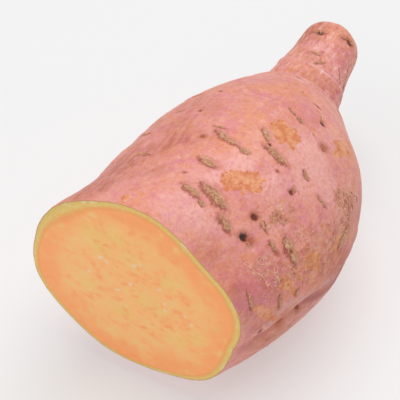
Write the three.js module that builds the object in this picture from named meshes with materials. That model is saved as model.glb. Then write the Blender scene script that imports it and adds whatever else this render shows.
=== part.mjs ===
import * as THREE from 'three';

// A sweet potato with one end sliced off flat. It lies on its belly, and at the other
// end its shoulders draw in to a short neck with a blunt tip.
// Millimetres. The root runs along X from the cut face to the tip, and Z is up.
// Places on the skin are given as millimetres along the root from the cut face, and
// degrees around it from its far side (0) over the top (90) to its near side (180).

// Driving dimensions
const LENGTH = 140.3;
const CUT_RADIUS = 33;
const BELLY_RADIUS = 37.2;
const COLLAR_RADIUS = 18.8;
const NECK_RADIUS = 14.4;
const TIP_RADIUS = 10.7;
const COLLAR_ALONG = 94.5;
const NOSE_LENGTH = 10;
const FLAT_DEPTH = 1.6;

// The root is a little wider than it is high, and its tip is blunter than a ball.
const HEIGHT_TO_WIDTH = 0.985;
const NOSE_BLUNTNESS = 2.5;

// Sections along the root: how far along, shift of the middle aside and up, and radius.
const SECTIONS = [
  [0, 0, 0, CUT_RADIUS],
  [18, -6.5, -1, 35],
  [36, -9, -2, BELLY_RADIUS],
  [54, -9, -3.4, 36.5],
  [70, -9, -3.2, 32.3],
  [82, -7.8, -2.2, 26.2],
  [90, -6.8, -1.8, 21.7],
  [COLLAR_ALONG, -6.6, -1.7, COLLAR_RADIUS],
  [97.5, -6.3, -1.3, 15.5],
  [103, -5.5, -0.4, NECK_RADIUS],
  [112, -5, 0.8, 12.9],
  [122, -4.6, 2.1, 11.6],
  [LENGTH, -3.6, 4.4, TIP_RADIUS],
];

// Lobes that the cut outline shows: number round the root, height and turn in radians.
const CUT_LOBES = [
  [3, 0.55, 1.15],
  [4, 0.27, 0.8],
  [5, 0.32, -1.7],
  [6, 0.59, 1.7],
];
const LOBES_FADE = 28;

// Slow swells away from the cut: number round the root, radians per millimetre, height.
const SWELLS = [
  [2, 0.05, 0.3],
  [3, -0.07, 0.3],
  [5, 0.11, 0.18],
];
const SWELLS_START = 25;

// Long furrows with a ridge above each: middle line, depth, half width and ridge height.
const FURROWS = [
  { line: [[9, 192], [15, 186], [24, 183], [52, 187]], depth: 1.3, width: 2.6, ridge: 0.8 },
  { line: [[26, 38], [45, 33], [60, 36], [78, 31]], depth: 0.9, width: 3, ridge: 0.5 },
];
const RIDGE_OFFSET = 5.8;
const FURROW_FADE = 6;

// Rings that go all the way round: along, lean along, where the lean is nearest the cut
// face in degrees, half width and height.
const RINGS = [
  { along: 86, lean: 0.8, nearest: 120, width: 1.5, height: -0.3 },
  { along: 91.5, lean: 1, nearest: 100, width: 1.7, height: 0.3 },
  { along: 112.5, lean: 6.5, nearest: 117, width: 1.5, height: 0.28 },
];

// Dips, swellings, scars and pits: along, around, half length along and around, height.
const DIPS_AND_SWELLINGS = [
  [28.5, 76, 11, 13, -0.9],
  [14, 188, 5, 3.2, -0.5],
  [50, 222, 12, 9, -0.7],
  [62, 350, 13, 11, -0.9],
  [24, 318, 9, 12, -0.8],
  [70, 163, 11, 12, 0.45],
  [53, 177, 8, 6, -0.25],
  [72, 60, 12, 10, -0.4],
  [47, 44, 6, 6, 0.2],
  [5, 55, 7, 8, 0.25],
  [127, 172, 8, 7, -0.3],
];
const SCARS = [
  [38.5, 87, 1.6, 5, 0.4],
  [35, 92.5, 1.8, 6, 0.45],
  [33.3, 102.5, 1.7, 5, 0.4],
  [23.5, 95, 2.4, 4, -0.45],
  [13.2, 102, 2, 6, 0.45],
  [15.4, 110, 2.6, 8, 0.55],
  [11.6, 122, 1.8, 6, 0.45],
  [42.5, 106, 2.8, 5, 0.45],
  [38.4, 114, 2, 7.5, 0.45],
  [59, 110, 1.8, 6, 0.4],
  [38.2, 143, 2, 5, -0.45],
  [21.4, 151, 2.3, 8.5, 0.55],
  [17.3, 144, 2, 5, 0.4],
  [50, 157, 5, 8, 0.35],
  [24, 346, 2.2, 8, 0.5],
  [47, 338, 2, 7, 0.45],
  [57, 56, 2, 6, 0.3],
  [35, 52, 1.8, 5, 0.35],
  [30, 300, 2.2, 7, 0.45],
  [68, 318, 2, 6, 0.4],
  [12, 262, 2.2, 8, 0.5],
  [36, 216, 2, 7, 0.45],
  [64, 232, 1.8, 5, 0.4],
  [74, 12, 1.8, 5, 0.4],
];
const PITS = [
  [18.1, 126.8, 1.6, 2.2, -1],
  [12.3, 132.5, 1.7, 2, -1.3],
  [63.9, 122.5, 1.6, 1.8, -1],
  [53.8, 128.8, 2.4, 3, -0.8],
  [55.6, 123, 2, 4.2, -0.5],
  [126.1, 80, 2, 3.2, -1],
  [130.4, 140.5, 2, 3.2, -1],
  [114.3, 94, 1.3, 3.2, -0.5],
  [110, 107, 1.3, 2.4, -0.5],
  [27, 340, 1.8, 2.2, -1.1],
  [48, 18, 1.7, 2, -1],
  [71, 290, 1.8, 2.2, -1],
  [52, 205, 1.7, 2.1, -1],
  [20, 236, 1.8, 2.3, -1.1],
  [125, 215, 1.8, 3, -0.9],
  [127, 330, 2, 3, -1],
];
const MARKS = [...DIPS_AND_SWELLINGS, ...SCARS, ...PITS];

// Steps of the mesh: points round the root, and rings in each stretch along it.
const POINTS_ROUND = 90;
const STRETCHES = [
  { from: 0, to: 66, steps: 24 },
  { from: 66, to: 88, steps: 8 },
  { from: 88, to: 102, steps: 10 },
  { from: 102, to: LENGTH - NOSE_LENGTH, steps: 10 },
];
const NOSE_STEPS = 6;

const SKIN_COLOUR = 0xd98a7c;

const bell = (offset, width) => Math.exp(-((offset / width) ** 2));

// The shortest turn from one angle to another, in radians.
function turnBetween(from, to) {
  return Math.atan2(Math.sin(to - from), Math.cos(to - from));
}

// A smooth curve through rows of numbers, read in one column at a place along.
function smoothAt(rows, column, along) {
  const last = rows.length - 1;
  const slope = (i) => {
    const before = rows[Math.max(i - 1, 0)];
    const after = rows[Math.min(i + 1, last)];
    return (after[column] - before[column]) / (after[0] - before[0]);
  };
  let i = 0;
  while (i < last - 1 && along >= rows[i + 1][0]) i += 1;
  const step = rows[i + 1][0] - rows[i][0];
  const t = THREE.MathUtils.clamp((along - rows[i][0]) / step, 0, 1);
  const start = (1 + 2 * t) * (1 - t) ** 2 * rows[i][column];
  const end = t * t * (3 - 2 * t) * rows[i + 1][column];
  const leave = t * (1 - t) ** 2 * step * slope(i);
  const arrive = t * t * (t - 1) * step * slope(i + 1);
  return start + leave + end + arrive;
}

// How far the blunt nose has closed: 1 along the neck, 0 at the tip.
function noseClosure(along) {
  const into = THREE.MathUtils.clamp((along - (LENGTH - NOSE_LENGTH)) / NOSE_LENGTH, 0, 1);
  return (1 - into ** NOSE_BLUNTNESS) ** (1 / NOSE_BLUNTNESS);
}

// Height of the relief above the plain body, at a place where its radius is known.
function relief(along, around, radius) {
  let height = 0;
  for (const [count, amount, turn] of CUT_LOBES) {
    height += amount * Math.cos(count * around + turn) * bell(along, LOBES_FADE);
  }
  for (const [count, pitch, amount] of SWELLS) {
    height += amount * Math.cos(count * around + pitch * along) * (1 - bell(along, SWELLS_START));
  }
  for (const { line, depth, width, ridge } of FURROWS) {
    const middle = THREE.MathUtils.degToRad(smoothAt(line, 1, along));
    const aside = radius * turnBetween(middle, around);
    const past = Math.max(line[0][0] - along, along - line[line.length - 1][0], 0);
    const fade = bell(past, FURROW_FADE);
    height -= fade * depth * bell(aside, width);
    height += fade * ridge * bell(aside + RIDGE_OFFSET, width);
  }
  for (const ring of RINGS) {
    const nearest = THREE.MathUtils.degToRad(ring.nearest);
    const place = ring.along - ring.lean * Math.cos(around - nearest);
    height += ring.height * bell(along - place, ring.width);
  }
  for (const [markAlong, markAround, halfAlong, halfAround, amount] of MARKS) {
    const aside = radius * turnBetween(THREE.MathUtils.degToRad(markAround), around);
    height += amount * bell(along - markAlong, halfAlong) * bell(aside, halfAround);
  }
  return height;
}

// A point of the skin, seen from the middle of the cut face.
function skinPoint(along, around) {
  const radius = smoothAt(SECTIONS, 3, along);
  const raised = (radius + relief(along, around, radius)) * noseClosure(along);
  return new THREE.Vector3(
    along,
    smoothAt(SECTIONS, 1, along) + raised * Math.cos(around),
    smoothAt(SECTIONS, 2, along) + raised * HEIGHT_TO_WIDTH * Math.sin(around),
  );
}

// Where the rings of the mesh lie along the root, short of the tip itself.
function ringPlaces() {
  const places = [];
  for (const { from, to, steps } of STRETCHES) {
    for (let i = 0; i < steps; i += 1) places.push(from + ((to - from) * i) / steps);
  }
  for (let i = 0; i < NOSE_STEPS; i += 1) {
    const turn = (Math.PI / 2) * (i / NOSE_STEPS);
    places.push(LENGTH - NOSE_LENGTH + NOSE_LENGTH * Math.sin(turn));
  }
  return places;
}

// The closed body: the flat cut face, the skin ring by ring, and the tip.
function rootGeometry() {
  const places = ringPlaces();
  const points = [new THREE.Vector3(0, 0, 0)];
  for (const along of places) {
    for (let i = 0; i < POINTS_ROUND; i += 1) {
      points.push(skinPoint(along, (2 * Math.PI * i) / POINTS_ROUND));
    }
  }
  points.push(skinPoint(LENGTH, 0));
  const tip = points.length - 1;
  const at = (ring, i) => 1 + ring * POINTS_ROUND + (i % POINTS_ROUND);
  const faces = [];
  for (let i = 0; i < POINTS_ROUND; i += 1) {
    faces.push(0, at(0, i + 1), at(0, i));
    for (let ring = 0; ring < places.length - 1; ring += 1) {
      faces.push(at(ring, i), at(ring, i + 1), at(ring + 1, i + 1));
      faces.push(at(ring, i), at(ring + 1, i + 1), at(ring + 1, i));
    }
    faces.push(at(places.length - 1, i), at(places.length - 1, i + 1), tip);
  }
  // The belly is pressed flat where the root rests.
  const floor = Math.min(...points.map((p) => p.z)) + FLAT_DEPTH;
  for (const p of points) p.z = Math.max(p.z, floor);
  const geometry = new THREE.BufferGeometry().setFromPoints(points);
  geometry.setIndex(faces);
  return geometry;
}

// The origin is moved under the middle of the root, at the height that it rests on.
function restOnOrigin(geometry) {
  geometry.computeBoundingBox();
  const { min, max } = geometry.boundingBox;
  geometry.translate(-(min.x + max.x) / 2, -(min.y + max.y) / 2, -min.z);
  geometry.computeVertexNormals();
  return geometry;
}

const skin = new THREE.MeshStandardMaterial({ color: SKIN_COLOUR, roughness: 0.6, metalness: 0 });
const sweetPotato = new THREE.Mesh(restOnOrigin(rootGeometry()), skin);
sweetPotato.name = 'sweet_potato';

const part = new THREE.Group();
part.add(sweetPotato);

export default part;
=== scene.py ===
import math

import bpy
import numpy as np
from mathutils import Matrix, Vector, noise


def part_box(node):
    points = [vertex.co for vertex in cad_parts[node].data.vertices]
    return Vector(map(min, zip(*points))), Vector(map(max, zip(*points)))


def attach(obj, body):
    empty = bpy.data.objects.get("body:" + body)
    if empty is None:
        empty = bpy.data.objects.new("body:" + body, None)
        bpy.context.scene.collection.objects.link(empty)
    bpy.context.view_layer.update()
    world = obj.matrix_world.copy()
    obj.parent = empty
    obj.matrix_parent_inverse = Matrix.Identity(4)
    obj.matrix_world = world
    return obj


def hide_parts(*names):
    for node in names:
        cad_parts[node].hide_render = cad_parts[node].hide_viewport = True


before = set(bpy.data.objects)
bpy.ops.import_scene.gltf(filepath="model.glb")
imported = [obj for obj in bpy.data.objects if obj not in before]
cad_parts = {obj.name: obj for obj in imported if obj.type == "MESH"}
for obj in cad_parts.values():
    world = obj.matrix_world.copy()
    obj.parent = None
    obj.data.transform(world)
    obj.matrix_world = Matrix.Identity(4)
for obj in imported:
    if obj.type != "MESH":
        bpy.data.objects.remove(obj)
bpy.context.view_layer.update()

# The sweet potato itself: one swollen root, solid orange flesh under a thin pink skin.
# It grew as one body, so it is one closed mesh, and its wide end was sliced off flat.
# Sizes are millimetres. A place on the skin is how far along from the cut face, and
# degrees around from the far side (0) over the top (90) to the near side (180).
MM = 0.001
LENGTH = 140.3
NOSE_LENGTH = 10
NOSE_START = LENGTH - NOSE_LENGTH
NOSE_BLUNTNESS = 2.5
FLAT_DEPTH = 1.6
HEIGHT_TO_WIDTH = 0.985
# Sections: along, shift of the middle aside and up, and radius.
SECTIONS = np.array([
    (0, 0, 0, 33), (18, -6.5, -1, 35), (36, -9, -2, 37.2), (54, -9, -3.4, 36.5),
    (70, -9, -3.2, 32.3), (82, -7.8, -2.2, 26.2), (90, -6.8, -1.8, 21.7),
    (94.5, -6.6, -1.7, 18.8), (97.5, -6.3, -1.3, 15.5), (103, -5.5, -0.4, 14.4),
    (112, -5, 0.8, 12.9), (122, -4.6, 2.1, 11.6), (LENGTH, -3.6, 4.4, 10.7),
])
# Lobes of the cut outline, and slow swells away from it: count round, turn or pitch, height.
CUT_LOBES = ((3, 1.15, 0.55), (4, 0.8, 0.27), (5, -1.7, 0.32), (6, 1.7, 0.59))
LOBES_FADE = 28
SWELLS = ((2, 0.05, 0.3), (3, -0.07, 0.3), (5, 0.11, 0.18))
SWELLS_START = 25
# Long furrows with a ridge above each: middle line, depth, half width and ridge height.
FURROWS = (
    (((9, 192), (15, 186), (24, 183), (52, 187)), 1.3, 2.6, 0.8),
    (((26, 38), (45, 33), (60, 36), (78, 31)), 0.9, 3, 0.5),
)
RIDGE_OFFSET = 5.8
FURROW_FADE = 6
# Rings all the way round: along, lean along, where the lean is nearest the cut, half width
# and height. The fine ones are the collar's lip and crease and the wrinkles of the neck.
RINGS = ((86, 0.8, 120, 1.5, -0.3), (91.5, 1, 100, 1.7, 0.3), (112.5, 6.5, 117, 1.5, 0.28))
FINE_RINGS = (
    (82.2, 0.9, 90, 0.5, 0.1), (84.6, 0.7, 150, 0.5, -0.14), (87, 0.6, 110, 1, 0.24),
    (89.4, 0.8, 115, 0.5, -0.5), (91.6, 0.8, 115, 0.5, 0.12), (94.2, 0.6, 115, 0.5, -0.4),
    (96.4, 1, 110, 0.5, 0.1), (98.6, 1, 110, 0.6, -0.26), (101.4, 1.2, 150, 0.5, -0.14),
    (104.9, 2.2, 120, 0.55, 0.14), (110.2, 6, 118, 0.4, -0.1), (112.9, 5.5, 112, 0.6, 0.3),
    (114.6, 3.5, 70, 0.4, 0.18), (106.4, 1.5, 112, 0.4, -0.16), (114.6, 6.2, 112, 0.45, -0.16),
    (119.5, 3.5, 60, 0.5, -0.1), (123.8, 2.4, 170, 0.5, 0.08),
)
# Broad dips and swellings: along, around, half length along and around, height.
DIPS_AND_SWELLINGS = (
    (28.5, 76, 11, 13, -0.9), (14, 188, 5, 3.2, -0.5), (50, 222, 12, 9, -0.7),
    (62, 350, 13, 11, -0.9), (24, 318, 9, 12, -0.8), (70, 163, 11, 12, 0.45),
    (53, 177, 8, 6, -0.25), (72, 60, 12, 10, -0.4), (47, 44, 6, 6, 0.2), (5, 55, 7, 8, 0.25),
    (127, 172, 8, 7, -0.3),
)


def bell(offset, width):
    return np.exp(-((offset / width) ** 2))


def turn_between(start, end):
    """The shortest turn from one angle to another, in radians."""
    return np.arctan2(np.sin(end - start), np.cos(end - start))


def mm_aside(angle, around, radius):
    """How far round the skin a place lies from an angle in degrees."""
    return radius * turn_between(math.radians(angle), around)


def smooth_at(rows, column, along):
    """A smooth curve through rows of numbers, read in one column at places along."""
    rows = np.asarray(rows, float)
    places, values = rows[:, 0], rows[:, column]
    slopes = np.empty_like(values)
    slopes[1:-1] = (values[2:] - values[:-2]) / (places[2:] - places[:-2])
    slopes[0] = (values[1] - values[0]) / (places[1] - places[0])
    slopes[-1] = (values[-1] - values[-2]) / (places[-1] - places[-2])
    i = np.clip(np.searchsorted(places, along, side="right") - 1, 0, len(places) - 2)
    step = places[i + 1] - places[i]
    t = np.clip((along - places[i]) / step, 0, 1)
    start = (1 + 2 * t) * (1 - t) ** 2 * values[i] + t * (1 - t) ** 2 * step * slopes[i]
    end = t * t * (3 - 2 * t) * values[i + 1] + t * t * (t - 1) * step * slopes[i + 1]
    return start + end


def ring_height(rings, along, around):
    height = np.zeros(along.shape)
    for place, lean, nearest, width, amount in rings:
        middle = place - lean * np.cos(around - math.radians(nearest))
        height += amount * bell(along - middle, width)
    return height


def grown_relief(along, around, radius):
    """Lobes, swells, furrows, rings and dips above the plain round body."""
    height = ring_height(RINGS, along, around)
    for count, turn, amount in CUT_LOBES:
        height += amount * np.cos(count * around + turn) * bell(along, LOBES_FADE)
    for count, pitch, amount in SWELLS:
        height += amount * np.cos(count * around + pitch * along) * (1 - bell(along, SWELLS_START))
    for line, depth, width, ridge in FURROWS:
        aside = radius * turn_between(np.radians(smooth_at(line, 1, along)), around)
        past = np.maximum(np.maximum(line[0][0] - along, along - line[-1][0]), 0)
        raised = ridge * bell(aside + RIDGE_OFFSET, width) - depth * bell(aside, width)
        height += bell(past, FURROW_FADE) * raised
    for place, angle, half_along, half_around, amount in DIPS_AND_SWELLINGS:
        aside = mm_aside(angle, around, radius)
        height += amount * bell(along - place, half_along) * bell(aside, half_around)
    return height


def body_point(along, around, height):
    """Points at these places with this relief, in mm from the middle of the cut face."""
    into_nose = np.clip((along - NOSE_START) / NOSE_LENGTH, 0, 1)
    closure = (1 - into_nose ** NOSE_BLUNTNESS) ** (1 / NOSE_BLUNTNESS)
    raised = (smooth_at(SECTIONS, 3, along) + height) * closure
    aside = smooth_at(SECTIONS, 1, along) + raised * np.cos(around)
    lift = smooth_at(SECTIONS, 2, along) + raised * HEIGHT_TO_WIDTH * np.sin(around)
    return np.stack([along + 0 * around, aside, lift], -1)


# Marks of growth and wear. Corky slits, where the skin cracked across the root and healed:
# path, half width, height, and tone from cream (0) over tan to dark olive brown (1).
SLITS = (
    (((40.9, 127.2), (40, 129), (39.4, 131.4)), 0.6, -0.2, 0.8),
    (((18.6, 168.6), (17, 171.6)), 0.5, -0.2, 0.9),
    (((19, 130.4), (18.5, 133.4), (18.1, 136)), 0.35, 0.2, 0.4),
    (((38.3, 84), (38.1, 90)), 0.42, 0.25, 0.75),
    (((36.3, 87), (34.9, 91), (33.7, 95.5), (33.4, 98.6)), 0.82, 0.4, 0.62),
    (((33.2, 100.6), (32.7, 103), (32.7, 105.6)), 0.56, 0.3, 0.4),
    (((25.1, 90), (23.7, 99)), 0.9, -0.35, 0.4),
    (((13.7, 96.6), (12.8, 101), (12.1, 106)), 0.8, 0.4, 0.42),
    (((11.6, 107.6), (10.7, 110.6)), 0.6, 0.3, 0.7),
    (((16.5, 102), (15.3, 108), (14.5, 112), (14.3, 116.6)), 1.12, 0.5, 0.6),
    (((11.9, 117.4), (11.4, 122), (10.8, 126.6)), 0.76, 0.4, 0.5),
    (((44, 102.6), (42.4, 106), (41.1, 107.8)), 0.75, 0.35, 0),
    (((38.5, 108.2), (37.9, 112.6), (37.5, 117), (37.3, 119.6)), 0.98, 0.45, 0.65),
    (((60.2, 105.4), (58.8, 109.6)), 0.45, 0.25, 0.7),
    (((58.4, 111.2), (58, 113), (57.8, 114.6)), 0.72, 0.35, 0.95),
    (((37.9, 139.6), (38.3, 142), (38.3, 145.6)), 0.6, -0.3, 0.75),
    (((21.4, 142.6), (20.5, 148), (19.7, 155.6)), 1.05, 0.55, 0.12),
    (((17.1, 140), (16.9, 144), (16.7, 145.8)), 0.6, 0.3, 0.6),
    (((4.6, 155.6), (4.2, 160), (3.8, 165)), 0.46, 0.22, 0.6),
    (((12.4, 165.6), (12, 169), (11.7, 173)), 0.48, 0.2, 0.85),
    (((23.7, 57.6), (23.9, 62), (23.5, 66)), 0.42, 0.2, 0.6),
    (((32.6, 128.4), (32.8, 130.8)), 0.8, 0.2, 0.9),
    (((115.5, 85), (115.3, 93), (115.2, 101)), 0.6, -0.35, 1),
    (((109.8, 101), (111, 108), (112.4, 114)), 0.6, -0.35, 0.95),
    (((127.4, 64), (127.2, 76), (127.8, 90)), 0.62, 0.2, 0.55),
    (((129.6, 118), (130.4, 129), (131, 147)), 0.7, 0.25, 0.5),
    (((51.8, 156.8), (52.5, 161)), 0.55, 0.25, 0.85),
    (((45, 163.6), (41.4, 164.2), (36.4, 165.6)), 0.85, 0.35, 0.1),
    (((57.8, 160.8), (57.5, 164.4)), 0.45, 0.2, 0.8),
    (((45.8, 57.4), (46.2, 62.4)), 0.4, 0.2, 0.35),
    (((24.9, 337), (24.1, 346), (22.8, 354)), 0.95, 0.5, 0.45),
    (((47.6, 331), (46.9, 338), (46.9, 344)), 0.85, 0.4, 0.65),
    (((57.4, 51), (56.8, 57), (57.3, 61)), 0.62, 0.3, 0.6),
    (((35.2, 47), (34.9, 53)), 0.62, 0.3, 0.6),
    (((30.7, 293), (29.9, 300), (29.2, 306)), 0.85, 0.4, 0.3),
    (((68.4, 313), (67.7, 320)), 0.72, 0.35, 0.6),
    (((12.4, 254), (11.8, 263), (12.2, 269)), 0.8, 0.4, 0.6),
    (((36.2, 209), (35.9, 216), (36.4, 221)), 0.78, 0.4, 0.2),
    (((64.3, 228), (63.8, 236)), 0.68, 0.35, 0.7), (((74.2, 7), (73.9, 16)), 0.66, 0.35, 0.6),
    (((9.6, 12), (9.1, 19), (9.5, 23)), 0.72, 0.35, 0.5),
    (((40.4, 0), (39.6, 6), (40.1, 9)), 0.6, 0.3, 0.35),
    (((62.1, 19), (61.6, 24)), 0.5, 0.25, 0.85), (((17.8, 217), (17.1, 222)), 0.6, 0.3, 0.8),
    (((52.7, 246), (52.2, 253), (52.6, 257)), 0.7, 0.35, 0.45),
    (((80.4, 196), (79.9, 204)), 0.55, 0.25, 0.7), (((78.3, 262), (77.9, 270)), 0.6, 0.3, 0.5),
    (((86.4, 330), (86, 340)), 0.5, 0.25, 0.7), (((8.8, 301), (8.1, 308)), 0.66, 0.3, 0.6),
    (((112.4, 238), (112, 251)), 0.45, -0.25, 0.8), (((118.3, 318), (118, 331)), 0.42, -0.25, 0.7),
)
# Eyes and bites: along, around, half length along and around, depth, and tone from a
# reddish dent (0) to a dark hole (1), whose dark is partly painted shade in the hollow.
PITS = (
    (18.7, 127, 0.95, 1.15, 1.1, 0.75), (13.3, 134.6, 1.05, 1.3, 0.4, 0.12),
    (12.9, 132, 1.15, 1.45, 1.1, 0.97), (64.8, 123, 0.85, 0.9, 1, 1),
    (55.4, 129, 1.5, 1.4, 0.4, 0.12), (54.4, 129.6, 0.6, 0.6, 0.3, 0.5),
    (127.4, 79, 1, 1.3, 0.8, 0.85), (130.7, 139, 1, 1.5, 0.8, 0.85),
    (16.9, 146.8, 0.6, 0.65, 0.35, 0.05), (40, 109.2, 0.5, 0.6, 0.3, 0.6),
    (44.6, 72, 0.5, 0.6, 0.2, 0.45), (58.2, 71, 0.5, 0.6, 0.2, 0.35),
    (33.3, 83, 0.7, 0.9, 0.2, 0.3), (17.9, 91, 0.45, 0.6, 0.2, 0.25),
    (33.5, 119, 0.5, 0.6, 0.2, 0.3), (31.6, 129.4, 0.7, 0.8, 0.4, 0.6),
    (14.6, 188, 1.1, 1.5, 0.35, 0.1), (20.5, 185.4, 0.7, 1.4, 0.25, 0.4),
    (6, 183, 0.5, 1.1, 0.2, 0.4), (20.3, 149.4, 0.5, 0.7, 0.3, 0.5), (27, 340, 1.1, 1.3, 1.3, 1),
    (48, 18, 1, 1.2, 1.1, 0.9), (71, 290, 1.1, 1.3, 1.1, 0.9), (52, 205, 1, 1.2, 1.1, 0.95),
    (20, 236, 1.1, 1.3, 1.2, 0.9), (125, 215, 1, 1.5, 0.8, 0.85), (127, 330, 1.1, 1.5, 0.9, 0.85),
    (14, 350, 0.6, 0.7, 0.3, 0.4), (34, 25, 0.5, 0.7, 0.25, 0.5), (58, 275, 0.7, 0.8, 0.4, 0.6),
    (39, 252, 0.6, 0.8, 0.3, 0.4), (66, 205, 0.5, 0.6, 0.25, 0.6), (77, 342, 0.6, 0.7, 0.3, 0.5),
)
# Rubbed: the pink tore off in blocks with straight sides, and orange shows. Each block is
# along, around, half size slantwise to the right and to the left, and strength.
RUBBED = (
    (22.3, 108.5, 3.1, 3.9, 0.95), (25.7, 114.2, 2.3, 3.6, 0.95), (28.1, 117.4, 1.5, 1, 0.75),
    (24.9, 118.6, 1.7, 1, 0.8), (20.7, 116.2, 0.7, 0.7, 0.8), (19.2, 110, 0.5, 0.9, 0.6),
    (47.6, 109, 2.8, 4.2, 1.1), (49.8, 114.5, 2.5, 3.3, 1.1), (45.4, 116.5, 1.2, 2, 0.9),
    (52, 107, 1.3, 1.1, 0.7), (43.4, 112.5, 0.8, 0.8, 0.4), (54.5, 111, 1.1, 0.8, 0.5),
    (63.6, 137.2, 3.4, 2.4, 1.1), (59, 137.2, 2.6, 1.3, 1), (64.4, 140.8, 2.8, 1.7, 1.1),
    (57.2, 134.5, 1, 0.8, 0.6), (71.3, 145, 2.4, 1.6, 0.7), (24.7, 157, 1.4, 1.5, 1),
    (25.4, 160, 1.9, 1.7, 1.1), (27.3, 160.6, 1.4, 1.3, 1), (23.7, 162, 1.3, 1.2, 1),
    (26.2, 165, 1.4, 1.4, 1), (24.4, 168, 1.1, 1.2, 0.8), (35.2, 164, 1.4, 1.3, 1),
    (37.6, 161.8, 1.5, 1.4, 1), (38.9, 165, 1.8, 1.6, 1.1), (41.4, 165, 1.6, 1.4, 1),
    (42.6, 161, 1, 0.9, 0.9), (15.1, 158.2, 1.5, 1.4, 0.7), (15.6, 163.4, 2, 1.8, 0.85),
    (17, 169, 1.7, 1.5, 0.8), (13.4, 162.6, 1.3, 1.2, 0.7), (19.6, 164, 1.4, 1, 0.7),
    (5.4, 166, 1.6, 1.5, 0.8), (7.2, 171.6, 2.1, 1.8, 0.9), (9.4, 177, 1.9, 1.5, 0.75),
    (33.8, 150.6, 1, 0.9, 0.9), (34.6, 155, 0.9, 1.2, 0.9), (24.7, 54, 1.2, 0.8, 0.8),
    (24.5, 58, 1, 0.6, 0.7), (2.2, 118, 0.8, 0.9, 0.5), (11.6, 103.6, 0.7, 0.8, 0.7),
    (3, 85, 1, 1.4, 0.8), (1, 87, 0.8, 1, 0.7), (14.4, 145, 0.7, 0.7, 0.6),
    (16, 134.4, 0.7, 0.9, 0.6), (46.8, 99, 0.9, 0.9, 0.5), (62.2, 89, 1.6, 1.1, 0.5),
    (72.9, 107, 1.9, 1.2, 0.6), (68, 97, 1.6, 1.3, 0.45), (77.5, 88, 1.6, 1.3, 0.4),
    (79.5, 126, 1.4, 1.2, 0.4), (30, 330, 2.6, 2.2, 0.9), (33, 334, 2.2, 2.6, 0.8),
    (28, 326, 1.8, 1.3, 0.7), (58, 8, 2.4, 1.9, 0.8), (61, 12, 1.8, 2.2, 0.8),
    (16, 28, 2.2, 1.4, 0.7), (18.6, 24, 1.4, 1.6, 0.7), (44, 236, 2.6, 2, 0.8),
    (47, 231, 2, 2.4, 0.7), (25, 206, 1.9, 1.2, 0.7), (70, 222, 2.2, 1.6, 0.7),
    (10, 330, 1.8, 1.3, 0.7), (66, 260, 1.6, 2.1, 0.7), (80, 300, 1.8, 1.2, 0.6),
    (54, 300, 2.4, 1.6, 0.8), (38, 286, 1.8, 1.4, 0.7), (122, 300, 1.6, 1.2, 0.5),
)
# Patches of the skin: along, around, reach in mm and strength.
# Crusted: fine cork stands on the skin in crumbs.
CRUSTED = (
    (48, 147, 1.2, 0.9), (50.6, 153, 1.1, 0.9), (44.6, 150.6, 1, 0.9), (47.6, 160, 1, 0.8),
    (8.6, 142, 1.1, 0.6), (10.6, 146.5, 1.2, 0.6), (11.4, 151, 1, 0.55), (12, 156, 1.3, 0.6),
    (14, 158.6, 1.1, 0.6), (17.6, 159, 1, 0.6), (29.6, 150.6, 0.9, 0.6), (33.4, 150, 1, 0.6),
    (22.6, 158, 1.2, 0.5), (26.4, 154, 1, 0.5), (18.6, 160, 1, 0.5), (20.6, 168, 1.2, 0.5),
    (45.6, 160.6, 1.2, 0.7), (43.2, 161, 1, 0.7), (44, 166, 1.2, 0.6), (2, 142, 1, 0.4),
    (23.9, 132, 1.8, 0.7), (23.6, 136, 1.6, 0.7), (27.4, 134.6, 1.5, 0.55), (21.6, 133, 1.4, 0.6),
    (45.9, 147.4, 1.3, 0.9), (49.6, 150.4, 1.1, 0.9), (46.7, 153.4, 1.4, 0.9),
    (46, 157.6, 1.1, 0.8), (52.4, 153.6, 1, 0.8), (50.4, 158, 1.6, 0.7), (55.4, 159, 1.2, 0.6),
    (18.5, 132, 1, 0.8), (13.4, 134.6, 1.1, 0.8), (12.2, 136.4, 1, 0.7), (14.6, 145.6, 0.7, 0.7),
    (12.3, 144, 0.7, 0.7), (127.3, 70, 1.2, 0.7), (127.8, 86, 1.2, 0.6), (130.6, 124, 1.4, 0.7),
    (131.2, 146, 1.2, 0.7), (66.6, 120.6, 0.9, 0.6), (33.2, 131.4, 0.9, 0.7), (40, 57, 0.8, 0.7),
    (48.4, 59, 0.9, 0.5), (22.6, 349, 1.6, 0.7), (49.2, 333, 1.5, 0.7), (72.6, 293, 1.4, 0.7),
    (53.4, 208, 1.4, 0.7), (21.4, 239, 1.5, 0.7), (44, 268, 1.8, 0.7), (60, 330, 1.6, 0.6),
    (34, 310, 1.4, 0.6), (126, 322, 1.4, 0.7), (125.6, 222, 1.4, 0.7), (12, 200, 1.3, 0.6),
)
# Crackled: the skin split in a fine net, and pale and orange lines show.
CRACKLED = (
    (27, 134, 3.5, 0.8), (21, 134, 3, 0.7), (24, 126, 2.5, 0.4), (12, 150, 4, 0.8),
    (10, 160, 4, 0.6), (18, 160, 5, 0.9), (25, 150, 5, 0.7), (26, 164, 5, 0.8), (34, 158, 5, 0.8),
    (40, 164, 5, 0.8), (46, 150, 4, 1), (51, 157, 4, 1), (45, 160, 4, 0.9), (56, 150, 4, 0.4),
    (3, 60, 3, 0.4), (128, 76, 3, 0.6), (130, 130, 4, 0.6), (113, 108, 3, 0.5), (30, 215, 9, 0.7),
    (60, 200, 8, 0.6), (22, 330, 8, 0.7), (50, 330, 8, 0.6), (70, 290, 8, 0.7), (20, 240, 8, 0.6),
    (48, 262, 7, 0.6), (100, 260, 8, 0.5), (100, 30, 6, 0.4),
)
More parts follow.
